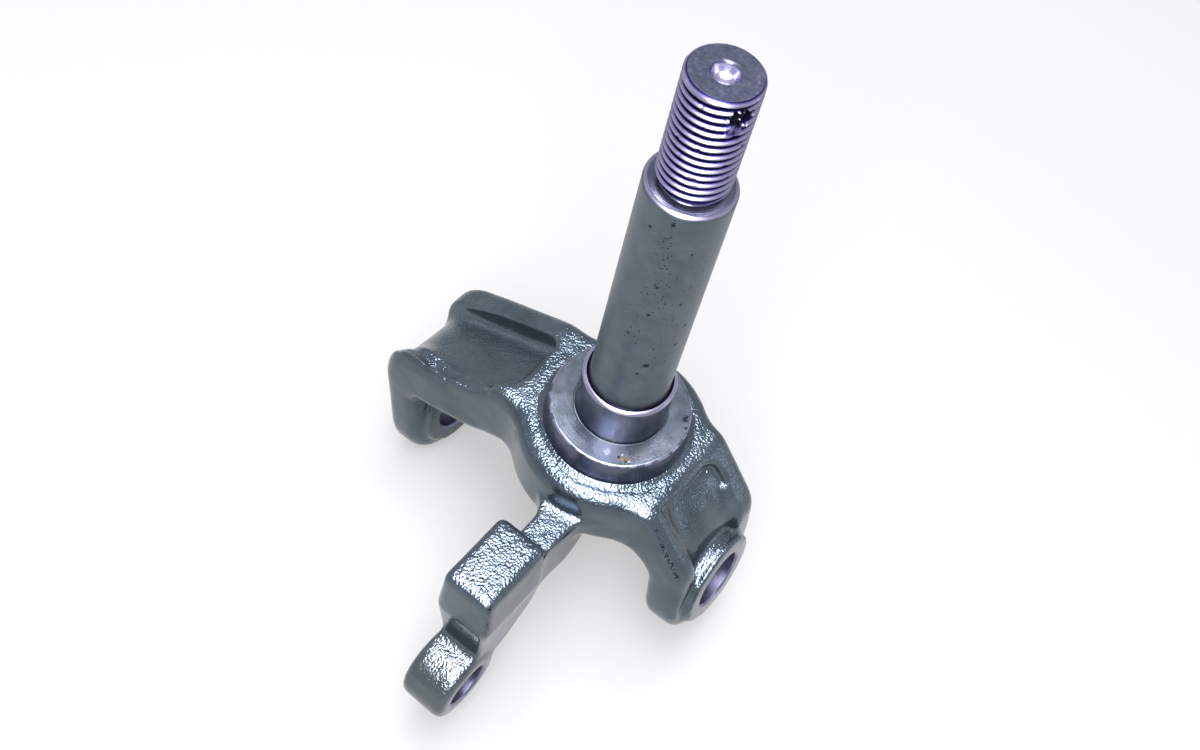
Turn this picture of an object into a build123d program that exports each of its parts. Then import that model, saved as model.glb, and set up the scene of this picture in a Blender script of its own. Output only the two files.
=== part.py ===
from build123d import *
from math import cos, radians, sin, tan
import os

# Steering knuckle: one steel forging, machined at its spindle, seat, kingpin bores and tie-rod eye.
# Millimetres. The origin is on the spindle's axis at the seat face, +Z runs out along the spindle,
# +X points to the lower kingpin ear and -Y along the steering arm.

# Spindle
journal_radius = 15.0
journal_end = 128.0
journal_end_chamfer = 1.0
inner_bearing_radius = 17.5
inner_bearing_length = 20.8
inner_bearing_chamfer = 1.6
thread_radius = 12.0
thread_length = 45.2
thread_pitch = 3.0
thread_flank_angle = 30.0
thread_start_angle = 90.0
thread_chamfer = 1.4
relief_depth = 1.9
relief_length = 3.0
centre_hole_radius = 4.0
centre_hole_angle = 30.0
centre_pilot_radius = 1.6
centre_pilot_depth = 8.0
split_pin_radius = 2.0
split_pin_from_end = 6.7
split_pin_angle = -26.0

# Seat: the raised turned face that the hub's inner ring bears on
seat_radius = 27.0
seat_height = 10.0
seat_draft = 1.1
seat_chamfer = 0.8

# Hub of the forging
hub_radius = 37.5
hub_top = -12.4
hub_bottom = -41.0
hub_blend = 20.0
collar_radius = 33.0
groove_depth = 0.6

# Kingpin: its axis leans by the inclination, so the upper ear is further from the spindle
kingpin_inclination = 7.2
kingpin_radius = 12.5
kingpin_drop = 72.0
bore_chamfer = 0.8

# Lower ear, at +X
lower_ear_radius = 26.0
lower_ear_inner = 44.3
lower_ear_width = 16.9
lower_boss_radius = 20.9
lower_boss_height = 2.8
lower_boss_edge = 1.5
lower_slope = 47.0
lower_slope_start = 34.6
lower_slope_blend = 8.0
lower_corner_drop = 23.0
lower_shoulder = 20.0
lower_arch_radius = 13.0
lower_arch_top = -43.0

# Upper ear, at -X
upper_ear_radius = 26.0
upper_ear_inner = 75.7
upper_ear_width = 15.3
upper_boss_radius = 19.5
upper_boss_height = 3.0
upper_slope = 25.0
upper_slope_start = 41.0
upper_slope_blend = 20.0
upper_corner_drop = 24.0
upper_shoulder = 19.0
upper_arch_radius = 6.0
upper_arch_top = -54.5
waist_front = 22.5
waist_rear = 25.5
waist_gap = 7.5
waist_blend = 20.0

# Underside of the hub and the upper arm
under_flat_front = 16.0
under_flat_back = 20.0
under_knee_x = 32.5
under_knee_drop = 2.0
under_arm_x = 50.0
under_arm_rise = 4.0
under_blend = 20.0
under_flat_blend = 10.0
yoke_edge = 5.0

# Troughs forged into the outer sides of both ears
upper_trough_start = 38.0
trough_rear = 14.0
trough_corner = 5.0
lower_trough_start = 36.3
lower_trough_front = 16.0
lower_trough_depth = 4.5
lower_trough_foot = 3.0
upper_trough_front = 19.0
upper_trough_depth = 9.5
upper_trough_tilt = 8.0
upper_trough_foot = 4.0
upper_trough_turn = 12.0
upper_turn_end = 46.0
upper_turn_blend = 8.0
saddle_shoulder = 24.0
saddle_end_drop = 12.0
spill_x = 52.0
spill_radius = 16.0
channel_y = 18.5
channel_x = 62.0
channel_radius = 4.0
channel_depth = 1.5

# Neck of the steering arm, with the flares at its root
neck_top = -26.0
neck_left = -0.4
neck_right = 12.7
neck_spread = 1.1
neck_y = -53.5
neck_edge = 2.5
left_flare = 12.0
right_flare = 8.0

# Bar that runs from the neck, under the stop block, to the eye
bar_centre = 5.2
bar_width = 18.0
bar_start = -60.0
bar_front = -91.0
bar_front_blend = 4.5
bar_bottom = -56.0
bar_knee_y = -50.0
bar_fall = 5.0
bar_foot_rise = 5.0
bar_toe_rise = 2.0
bar_blend = 15.0

# Stop block
block_centre = 4.2
block_width = 24.2
block_top = -13.0
block_parting = -36.0
block_bottom = -54.0
block_back = -57.5
block_front = -93.0
block_draft = 4.0
block_corner = 4.0
block_edge = 3.0

# Tie-rod eye
eye_y = -96.0
eye_z = -75.0
eye_radius = 16.4
eye_width = 20.0
eye_bore_radius = 9.3
eye_edge = 3.0

# Length of a cutter or blank that runs well past the part, how deep a sub-part is sunk into the
# one that carries it, and how far the thread's cutter stands clear of what it doesn't cut
reach = 150.0
overlap = 1.0
cutter_clearance = 0.2

# Each boss stands on its ear, the lower one outwards and the upper one inwards, and the upper
# ear's arm is narrowest a little way out from the hub
lower_ear_outer = lower_ear_inner + lower_ear_width
lower_boss_outer = lower_ear_outer + lower_boss_height
upper_ear_outer = upper_ear_inner + upper_ear_width
upper_boss_inner = upper_ear_inner - upper_boss_height
waist_x = hub_radius + waist_gap

lean = radians(kingpin_inclination)
tilt = radians(upper_trough_tilt)
slope = radians(upper_slope)
rib_fall = tan(slope)
slope_fall = tan(radians(lower_slope))


def kingpin_point(along, up):
    """Side-view point (x, z) at a distance along the kingpin and above it."""
    x = along * cos(lean) - up * sin(lean)
    z = -kingpin_drop + along * sin(lean) + up * cos(lean)
    return x, z


def kingpin_plane(along):
    """Plane across the kingpin at a distance along it, with its y pointing up."""
    x, z = kingpin_point(along, 0)
    return Plane(origin=(x, 0, z), x_dir=(0, 1, 0), z_dir=(cos(lean), 0, sin(lean)))


def ear_face_x(along, z):
    """X of an ear's face, which stands square to the kingpin, at a height."""
    return (along - (z + kingpin_drop) * sin(lean)) / cos(lean)


def saddle_z(x, y):
    """Height of the upper trough's floor before it rolls over."""
    rise = (trough_rear - y) * tan(tilt)
    return hub_top - upper_trough_depth + rise - (-x - upper_slope_start) * rib_fall


# Thread: a V groove with a flat root, wound right-handed from the relief out past the end. It is
# an eighth of the pitch narrower than the pitch at the crests, and a quarter wide at its root.
spindle_end = journal_end + thread_length
crest_width = thread_pitch * 7 / 8
root_width = thread_pitch / 4
thread_depth = (crest_width - root_width) / 2 / tan(radians(thread_flank_angle))
cutter_radius = thread_radius + cutter_clearance
cutter_width = crest_width + 2 * cutter_clearance * tan(radians(thread_flank_angle))
thread_start = journal_end + cutter_clearance + cutter_width / 2
with BuildPart() as thread_groove:
    with BuildLine() as winding:
        Helix(
            pitch=thread_pitch,
            height=spindle_end - thread_start + thread_pitch,
            radius=thread_radius,
            center=(0, 0, thread_start),
        )
    with BuildSketch(Plane.XZ):
        with BuildLine():
            Polyline(
                (thread_radius - thread_depth, thread_start - root_width / 2),
                (cutter_radius, thread_start - cutter_width / 2),
                (cutter_radius, thread_start + cutter_width / 2),
                (thread_radius - thread_depth, thread_start + root_width / 2),
                close=True,
            )
        make_face()
    sweep(path=winding.wires()[0], is_frenet=True)

# Spindle and seat, turned in one profile, with the thread cut on the end
with BuildPart() as spindle:
    with BuildSketch(Plane.XZ):
        with BuildLine():
            Polyline(
                (0, hub_top - overlap),
                (seat_radius + seat_draft, hub_top - overlap),
                (seat_radius + seat_draft, -seat_height),
                (seat_radius, -seat_chamfer),
                (seat_radius - seat_chamfer, 0),
                (inner_bearing_radius, 0),
                (inner_bearing_radius, inner_bearing_length - inner_bearing_chamfer),
                (inner_bearing_radius - inner_bearing_chamfer, inner_bearing_length),
                (journal_radius, inner_bearing_length),
                (journal_radius, journal_end - journal_end_chamfer),
                (journal_radius - journal_end_chamfer, journal_end),
                (thread_radius - relief_depth, journal_end),
                (thread_radius - relief_depth, journal_end + relief_length - relief_depth),
                (thread_radius, journal_end + relief_length),
                (thread_radius, spindle_end - thread_chamfer),
                (thread_radius - thread_chamfer, spindle_end),
                (0, spindle_end),
                close=True,
            )
        make_face()
    revolve(axis=Axis.Z)
    add(thread_groove.part, rotation=(0, 0, thread_start_angle), mode=Mode.SUBTRACT)

# Collar: a shallow cone from the seat's foot down to the top of the hub
with BuildPart() as collar:
    with BuildSketch(Plane.XZ):
        with BuildLine():
            Polyline(
                (0, hub_top - overlap),
                (collar_radius + overlap, hub_top - overlap),
                (collar_radius, hub_top),
                (seat_radius + seat_draft, -seat_height - groove_depth),
                (0, -seat_height - groove_depth),
                close=True,
            )
        make_face()
    revolve(axis=Axis.Z)

# Yoke: the side view of the fork, carried across the width
upper_rib_end = -ear_face_x(-upper_ear_outer, hub_top - upper_corner_drop)
upper_rib_end_z = hub_top - (upper_rib_end - upper_slope_start) * rib_fall
lower_rib_end = ear_face_x(lower_ear_outer, hub_top - lower_corner_drop)
lower_rib_end_z = hub_top - (lower_rib_end - lower_slope_start) * slope_fall
with BuildPart() as yoke:
    with BuildSketch(Plane.XZ):
        with BuildLine():
            FilletPolyline(
                (-upper_slope_start, hub_top),
                (-upper_rib_end, upper_rib_end_z),
                kingpin_point(-upper_ear_outer, -2 * upper_ear_radius),
                kingpin_point(-upper_ear_inner, -2 * upper_ear_radius),
                (ear_face_x(-upper_ear_inner, upper_arch_top), upper_arch_top),
                (-under_arm_x, upper_arch_top + under_arm_rise),
                (-under_knee_x, hub_bottom - under_knee_drop),
                (-under_flat_back, hub_bottom),
                (under_flat_front, hub_bottom),
                (ear_face_x(lower_ear_inner, lower_arch_top), lower_arch_top),
                kingpin_point(lower_ear_inner, -2 * lower_ear_radius),
                kingpin_point(lower_ear_outer, -2 * lower_ear_radius),
                (lower_rib_end, lower_rib_end_z),
                (lower_slope_start, hub_top),
                radius=(
                    upper_slope_blend,
                    upper_shoulder,
                    0,
                    0,
                    upper_arch_radius,
                    under_blend,
                    under_blend,
                    under_flat_blend,
                    under_flat_blend,
                    lower_arch_radius,
                    0,
                    0,
                    lower_shoulder,
                    lower_slope_blend,
                ),
                close=True,
            )
        make_face()
    extrude(amount=hub_radius + 1, both=True)
    with BuildSketch(Plane.XY.offset(-reach)) as outline:
        with BuildLine():
            FilletPolyline(
                (-reach, -upper_ear_radius),
                (-upper_boss_inner, -upper_ear_radius),
                (-waist_x, -waist_front),
                (0, -waist_front),
                (0, waist_rear),
                (-waist_x, waist_rear),
                (-upper_boss_inner, upper_ear_radius),
                (-reach, upper_ear_radius),
                radius=(0, waist_blend, waist_blend, 0, 0, waist_blend, waist_blend, 0),
                close=True,
            )
        make_face()
        Rectangle(reach, 2 * lower_ear_radius, align=(Align.MIN, Align.CENTER))
        Circle(hub_radius)
        arm_roots = outline.vertices().filter_by(
            lambda vertex: abs(Vector(vertex.X, vertex.Y).length - hub_radius) < 0.01
        )
        fillet(arm_roots, hub_blend)
    extrude(amount=2 * reach, mode=Mode.INTERSECT)

    # The ears end round about the kingpin
    for ear_start, ear_stop, end_radius in (
        (-upper_ear_outer - 1, -upper_boss_inner, upper_ear_radius),
        (lower_ear_inner - 1, lower_ear_outer + 1, lower_ear_radius),
    ):
        with BuildSketch(kingpin_plane(ear_start)):
            Rectangle(4 * end_radius, 3 * end_radius, align=(Align.CENTER, Align.MAX))
            Circle(end_radius, mode=Mode.SUBTRACT)
        extrude(amount=ear_stop - ear_start, mode=Mode.SUBTRACT)

    # Every edge where the side walls meet the outer, under and ear faces is well rounded
    upright_walls = yoke.faces().filter_by(
        lambda face: abs(face.normal_at().Y) > 0.25 and abs(face.normal_at().Z) < 0.02
    )
    ear_ends = yoke.faces().filter_by(GeomType.CYLINDER).filter_by(
        lambda face: abs(face.axis_of_rotation.direction.X) > 0.9
    )
    wall_edges = [edge for face in upright_walls + ear_ends for edge in face.edges()]
    fillet([edge for edge in wall_edges if wall_edges.count(edge) == 1], yoke_edge)

# Trough on the lower ear: its floor follows the slope and the outer face
lower_floor = lower_ear_outer - lower_trough_depth
with BuildPart() as lower_trough:
    with BuildSketch(Plane.XZ.offset(-trough_rear)):
        slope_depth = lower_trough_depth / cos(radians(lower_slope))
        floor_start = lower_trough_start - lower_slope_start
        floor_start_z = hub_top - slope_depth - floor_start * slope_fall
        bend_x = ear_face_x(lower_floor, lower_rib_end_z)
        bend_z = floor_start_z - (bend_x - lower_trough_start) * slope_fall
        with BuildLine():
            FilletPolyline(
                (lower_trough_start, 0),
                (lower_trough_start, floor_start_z),
                (bend_x, bend_z),
                kingpin_point(lower_floor, 0),
                kingpin_point(lower_floor + reach, 0),
                (reach, 0),
                radius=(0, lower_trough_foot, lower_shoulder - lower_trough_foot, 0, 0, 0),
                close=True,
            )
        make_face()
    extrude(amount=trough_rear + lower_trough_front)
    inner_corners = lower_trough.edges().filter_by(Axis.Z).group_by(Axis.X)[0]
    fillet(inner_corners, trough_corner)

# Trough on the upper ear: a saddle that rises to the front and rolls over at its far end
with BuildPart() as upper_trough:
    tilted = Plane(origin=(0, trough_rear, 0), x_dir=(1, 0, 0), z_dir=(0, -cos(tilt), sin(tilt)))
    with BuildSketch(tilted):
        with BuildLine():
            FilletPolyline(
                (0, saddle_z(0, trough_rear)),
                (-upper_rib_end, saddle_z(-upper_rib_end, trough_rear)),
                kingpin_point(-upper_ear_outer, -saddle_end_drop),
                kingpin_point(-reach, -saddle_end_drop),
                (-reach, reach),
                (0, reach),
                radius=(0, saddle_shoulder, 0, 0, 0, 0),
                close=True,
            )
        make_face()
    extrude(amount=2 * hub_radius, both=True)
    with BuildSketch(Plane.XY.offset(-reach)):
        with BuildLine():
            FilletPolyline(
                (-reach, trough_rear),
                (-upper_trough_start, trough_rear),
                (-upper_trough_start, -upper_trough_turn),
                (-upper_turn_end, -upper_trough_front),
                (-reach, -upper_trough_front),
                radius=(0, trough_corner, upper_turn_blend, trough_corner, 0),
                close=True,
            )
        make_face()
    extrude(amount=2 * reach, mode=Mode.INTERSECT)
    floor = upper_trough.faces().filter_by(
        lambda face: abs(face.normal_at().Y) < 0.3 and face.normal_at().Z < -0.5
    )
    foot = [
        edge
        for edge in floor.edges()
        if edge.center().X > -upper_turn_end and edge.center().Y > -upper_trough_front
        or edge.center().Y > trough_rear - 0.01
    ]
    fillet(foot, upper_trough_foot)

# Spill: a hollow across the front rib's inner end, level with the saddle's front edge
with BuildPart() as spill:
    spill_bottom = saddle_z(-spill_x, -upper_trough_front)
    spill_centre = (-spill_x - spill_radius * sin(slope), spill_bottom + spill_radius * cos(slope))
    with BuildSketch(Plane.XZ.offset(upper_trough_turn)):
        with Locations(spill_centre):
            Circle(spill_radius)
    extrude(amount=upper_ear_radius)

# Channel between the saddle and the front rib, round at its inner end
with BuildPart() as channel:
    channel_z = saddle_z(-channel_x, -channel_y) - channel_depth + channel_radius
    channel_start = (-channel_x, -channel_y, channel_z)
    with BuildSketch(Plane(origin=channel_start, x_dir=(0, 1, 0), z_dir=(-cos(slope), 0, -sin(slope)))):
        Circle(channel_radius)
    extrude(amount=upper_ear_outer)
    with Locations(channel_start):
        Sphere(channel_radius)

# Steering arm: side view of the neck and the bar, carried across and cut to its plan
bar_left = bar_centre - bar_width / 2
bar_right = bar_centre + bar_width / 2
with BuildPart() as arm:
    with BuildSketch(Plane.YZ.offset(bar_centre - bar_width)):
        with BuildLine():
            FilletPolyline(
                (0, neck_top),
                (bar_front, neck_top),
                (bar_front, eye_z + eye_radius),
                (eye_y, eye_z + eye_radius),
                (eye_y, eye_z),
                (eye_y + eye_bore_radius, eye_z),
                (eye_y + eye_radius, eye_z + bar_toe_rise),
                (eye_y + 1.5 * eye_radius, eye_z + bar_foot_rise),
                (bar_start, bar_bottom - bar_fall),
                (bar_knee_y, bar_bottom),
                (-hub_radius, bar_bottom),
                (-hub_radius / 2, hub_bottom + yoke_edge),
                (0, hub_bottom + yoke_edge),
                radius=(
                    0,
                    0,
                    bar_front_blend,
                    0,
                    0,
                    0,
                    bar_blend / 2,
                    bar_blend / 2,
                    bar_blend,
                    bar_blend,
                    bar_blend,
                    0,
                    0,
                ),
                close=True,
            )
        make_face()
    extrude(amount=2 * bar_width)
    with BuildSketch(Plane.XY.offset(-reach)):
        with BuildLine():
            FilletPolyline(
                (neck_left, 0),
                (neck_left, neck_y),
                (bar_left, bar_start),
                (bar_left, -reach),
                (bar_right, -reach),
                (bar_right, bar_start),
                (neck_right, neck_y),
                (neck_right + neck_spread, -hub_radius),
                (neck_right + neck_spread, 0),
                radius=(0, 4, 6, 0, 0, 6, 6, 10, 0),
                close=True,
            )
        make_face()
    extrude(amount=2 * reach, mode=Mode.INTERSECT)

    # The neck's top edges are crisp
    top_edges = arm.faces().sort_by(Axis.Z)[-1].edges()
    fillet([edge for edge in top_edges if bar_front < edge.center().Y < 0], neck_edge)

# Flares that blend the neck's sides into the hub's wall
flare_bottom = hub_bottom + yoke_edge
with BuildPart() as flares:
    with BuildSketch(Plane.XY.offset(flare_bottom)):
        with BuildLine():
            FilletPolyline(
                (-left_flare - 2, -hub_radius + 3.5),
                (neck_left, -hub_radius - 1.1),
                (neck_left, neck_y),
                (neck_right, neck_y),
                (neck_right + neck_spread / 2, -hub_radius + 0.5),
                (3 * right_flare, -hub_radius + right_flare + 0.5),
                (0, 0),
                radius=(0, left_flare, 0, 0, right_flare, 0, 0),
                close=True,
            )
        make_face()
    extrude(amount=neck_top - flare_bottom)

# Stop block: it tapers both ways from the parting line
with BuildPart() as block:
    block_middle = (block_back + block_front) / 2
    with BuildSketch(Plane.XY.offset(block_parting)) as parting:
        with Locations((block_centre, block_middle)):
            RectangleRounded(block_width, block_back - block_front, block_corner)
    extrude(amount=block_top - block_parting, taper=block_draft)
    extrude(parting.sketch, amount=block_bottom - block_parting, taper=2 * block_draft)
    fillet(block.faces().sort_by(Axis.Z)[-1].edges(), block_edge)

# Tie-rod eye
with BuildPart() as eye:
    with BuildSketch(Plane.YZ.offset(bar_centre - eye_width / 2)):
        with Locations((eye_y, eye_z)):
            Circle(eye_radius)
    extrude(amount=eye_width)
    fillet(eye.edges(), eye_edge)

# Boss on the lower ear's outer face, with its rim rounded
with BuildPart() as lower_boss:
    with BuildSketch(kingpin_plane(lower_floor - lower_trough_depth)):
        Circle(lower_boss_radius)
    extrude(amount=lower_boss_outer - lower_floor + lower_trough_depth)
    fillet(lower_boss.edges().sort_by(Axis.X)[-1], lower_boss_edge)

# Holes drilled in the spindle's end: a centre hole, and a split-pin hole across the thread
with BuildPart() as end_holes:
    with BuildSketch(Plane.XZ):
        cone_depth = (centre_hole_radius - centre_pilot_radius) / tan(radians(centre_hole_angle))
        with BuildLine():
            Polyline(
                (0, spindle_end),
                (centre_hole_radius, spindle_end),
                (centre_pilot_radius, spindle_end - cone_depth),
                (centre_pilot_radius, spindle_end - centre_pilot_depth),
                (0, spindle_end - centre_pilot_depth),
                close=True,
            )
        make_face()
    revolve(axis=Axis.Z)
    turn = radians(split_pin_angle)
    hole_centre = (0, 0, spindle_end - split_pin_from_end)
    with BuildSketch(Plane(origin=hole_centre, x_dir=(0, 0, 1), z_dir=(cos(turn), sin(turn), 0))):
        Circle(split_pin_radius)
    extrude(amount=2 * thread_radius, both=True)

# Kingpin bore through both ears, with a chamfer at each of its four mouths
with BuildPart() as kingpin_bore:
    with BuildSketch(kingpin_plane(-reach)):
        Circle(kingpin_radius)
    extrude(amount=2 * reach)
    for mouth, inward in (
        (-upper_ear_outer, 1),
        (-upper_boss_inner, -1),
        (lower_ear_inner, 1),
        (lower_boss_outer, -1),
    ):
        with BuildSketch(kingpin_plane(mouth)):
            Circle(kingpin_radius + bore_chamfer)
        with BuildSketch(kingpin_plane(mouth + inward * bore_chamfer)):
            Circle(kingpin_radius)
        loft()

# Bore of the tie-rod eye, chamfered at both mouths
with BuildPart() as eye_bore:
    eye_centre = (bar_centre, eye_y, eye_z)
    with BuildSketch(Plane(origin=eye_centre, x_dir=(0, 0, 1), z_dir=(0, -1, 0))):
        with BuildLine():
            Polyline(
                (0, -eye_width / 2),
                (eye_bore_radius + bore_chamfer, -eye_width / 2),
                (eye_bore_radius, bore_chamfer - eye_width / 2),
                (eye_bore_radius, eye_width / 2 - bore_chamfer),
                (eye_bore_radius + bore_chamfer, eye_width / 2),
                (0, eye_width / 2),
                close=True,
            )
        make_face()
    revolve(axis=Axis(eye_centre, (1, 0, 0)))

with BuildPart() as steering_knuckle:
    add(yoke.part)
    add(lower_trough.part, mode=Mode.SUBTRACT)
    add(upper_trough.part, mode=Mode.SUBTRACT)
    add(spill.part, mode=Mode.SUBTRACT)
    add(channel.part, mode=Mode.SUBTRACT)
    add(collar.part)
    add(arm.part)
    add(flares.part)
    add(block.part)
    add(eye.part)
    add(lower_boss.part)
    with BuildSketch(kingpin_plane(-upper_ear_inner - overlap)):
        Circle(upper_boss_radius)
    extrude(amount=upper_ear_inner - upper_boss_inner + overlap)
    add(spindle.part)
    add(kingpin_bore.part, mode=Mode.SUBTRACT)
    add(eye_bore.part, mode=Mode.SUBTRACT)
    add(end_holes.part, mode=Mode.SUBTRACT)

steering_knuckle.part.label = "steering_knuckle"
print("solids", len(steering_knuckle.part.solids()), "volume", round(steering_knuckle.part.volume))
os.makedirs("parts", exist_ok=True)
export_step(steering_knuckle.part, "parts/steering_knuckle.step")
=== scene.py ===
import math

import bmesh
import bpy
import numpy as np
from mathutils import Matrix, Vector, noise


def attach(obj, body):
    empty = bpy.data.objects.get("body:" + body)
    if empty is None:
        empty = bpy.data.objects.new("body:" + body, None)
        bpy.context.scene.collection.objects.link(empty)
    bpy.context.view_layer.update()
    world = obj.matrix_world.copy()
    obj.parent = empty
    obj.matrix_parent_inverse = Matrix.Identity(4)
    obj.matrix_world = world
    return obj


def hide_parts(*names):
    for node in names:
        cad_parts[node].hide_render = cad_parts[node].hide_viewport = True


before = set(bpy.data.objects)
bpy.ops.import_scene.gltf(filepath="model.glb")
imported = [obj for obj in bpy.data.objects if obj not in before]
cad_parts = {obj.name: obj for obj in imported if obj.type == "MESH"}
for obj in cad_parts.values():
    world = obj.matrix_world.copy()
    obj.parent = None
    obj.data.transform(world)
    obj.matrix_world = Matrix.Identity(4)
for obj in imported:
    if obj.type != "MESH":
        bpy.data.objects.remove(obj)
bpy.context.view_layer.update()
print("frame loaded")

mm = 0.001
scene = bpy.context.scene
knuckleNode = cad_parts["steering_knuckle"]


def toLinear(hexColour):
    # an sRGB colour such as "#6f7c84" to the linear colour that the shaders use
    parts = [int(hexColour[i:i + 2], 16) / 255 for i in (1, 3, 5)]
    linear = [p / 12.92 if p <= 0.04045 else ((p + 0.055) / 1.055) ** 2.4 for p in parts]
    return tuple(linear) + (1.0,)


def feedNode(tree, node, inputs):
    # inputs are values or the sockets that feed the node
    for key, value in inputs.items():
        if isinstance(value, bpy.types.NodeSocket):
            tree.links.new(value, node.inputs[key])
        else:
            node.inputs[key].default_value = value


def addNode(tree, kind, inputs=None, stops=None, **settings):
    # settings are the node's own, and stops are a colour ramp's (place, hex colour) pairs
    node = tree.nodes.new(kind)
    for name, value in settings.items():
        setattr(node, name, value)
    feedNode(tree, node, inputs or {})
    if stops:
        marks = node.color_ramp.elements
        while len(marks) < len(stops):
            marks.new(0.5)
        for mark, (place, colour) in zip(marks, stops):
            mark.position = place
            mark.color = toLinear(colour)
    return node


def objectFromBmesh(name, mesh):
    data = bpy.data.meshes.new(name)
    mesh.to_mesh(data)
    mesh.free()
    made = bpy.data.objects.new(name, data)
    scene.collection.objects.link(made)
    return made


def addToBmesh(mesh, part):
    # puts a copy of part into mesh, and frees part
    spare = bpy.data.meshes.new("spare")
    part.to_mesh(spare)
    part.free()
    mesh.from_mesh(spare)
    bpy.data.meshes.remove(spare)


def applyModifiers(target):
    graph = bpy.context.evaluated_depsgraph_get()
    baked = bpy.data.meshes.new_from_object(target.evaluated_get(graph))
    target.modifiers.clear()
    old = target.data
    target.data = baked
    bpy.data.meshes.remove(old)


def lathe(profile, segments, closed=True):
    # profile is (radius, height) points in mm, turned about Z
    onAxis = 1e-6
    turns = [2 * math.pi * i / segments for i in range(segments)]
    mesh = bmesh.new()
    rings = []
    for radius, height in profile:
        if radius < onAxis:
            rings.append([mesh.verts.new((0, 0, height * mm))])
            continue
        rings.append([
            mesh.verts.new((radius * mm * math.cos(turn), radius * mm * math.sin(turn), height * mm))
            for turn in turns
        ])
    pairs = list(zip(rings, rings[1:]))
    if closed and len(rings[0]) > 1 and len(rings[-1]) > 1:
        pairs.append((rings[-1], rings[0]))
    for low, high in pairs:
        for i in range(segments):
            j = (i + 1) % segments
            corners = []
            for corner in (low[i % len(low)], low[j % len(low)], high[j % len(high)], high[i % len(high)]):
                if corner not in corners:  # a ring on the axis is one point, so its faces are triangles
                    corners.append(corner)
            mesh.faces.new(corners)
    bmesh.ops.recalc_face_normals(mesh, faces=mesh.faces)
    return mesh


def cutWith(target, cutter):
    tool = target.modifiers.new("cut", "BOOLEAN")
    tool.operation = "DIFFERENCE"
    tool.solver = "EXACT"
    tool.object = cutter
    applyModifiers(target)
    bpy.data.objects.remove(cutter)


def relaxSkin(target, turns, group=""):
    relax = target.modifiers.new("relax", "SMOOTH")
    relax.factor = 0.5
    relax.iterations = turns
    relax.vertex_group = group
    applyModifiers(target)


def vertexArrays(target):
    # points in mm and unit normals, as arrays
    count = len(target.data.vertices)
    points, normals = np.empty(count * 3, np.float32), np.empty(count * 3, np.float32)
    target.data.vertices.foreach_get("co", points)
    target.data.vertex_normals.foreach_get("vector", normals)
    return points.reshape(-1, 3).astype(float) / mm, normals.reshape(-1, 3).astype(float)


def distanceTo(points, path):
    # distance from each point to a path of straight runs, in mm
    nearest = np.full(len(points), np.inf)
    for start, stop in zip(path, path[1:]):
        start, run = np.array(start, float), np.array(stop, float) - np.array(start, float)
        along = np.clip((points - start) @ run / (run @ run), 0, 1)
        gap = np.linalg.norm(points - start - along[:, None] * run, axis=1)
        nearest = np.minimum(nearest, gap)
    return nearest


def ringOf(radius, height, first=0, last=360):
    # points every 10 degrees round Z, in mm
    angles = [math.radians(angle) for angle in range(first, last + 1, 10)]
    return [(radius * math.cos(angle), radius * math.sin(angle), height) for angle in angles]


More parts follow.
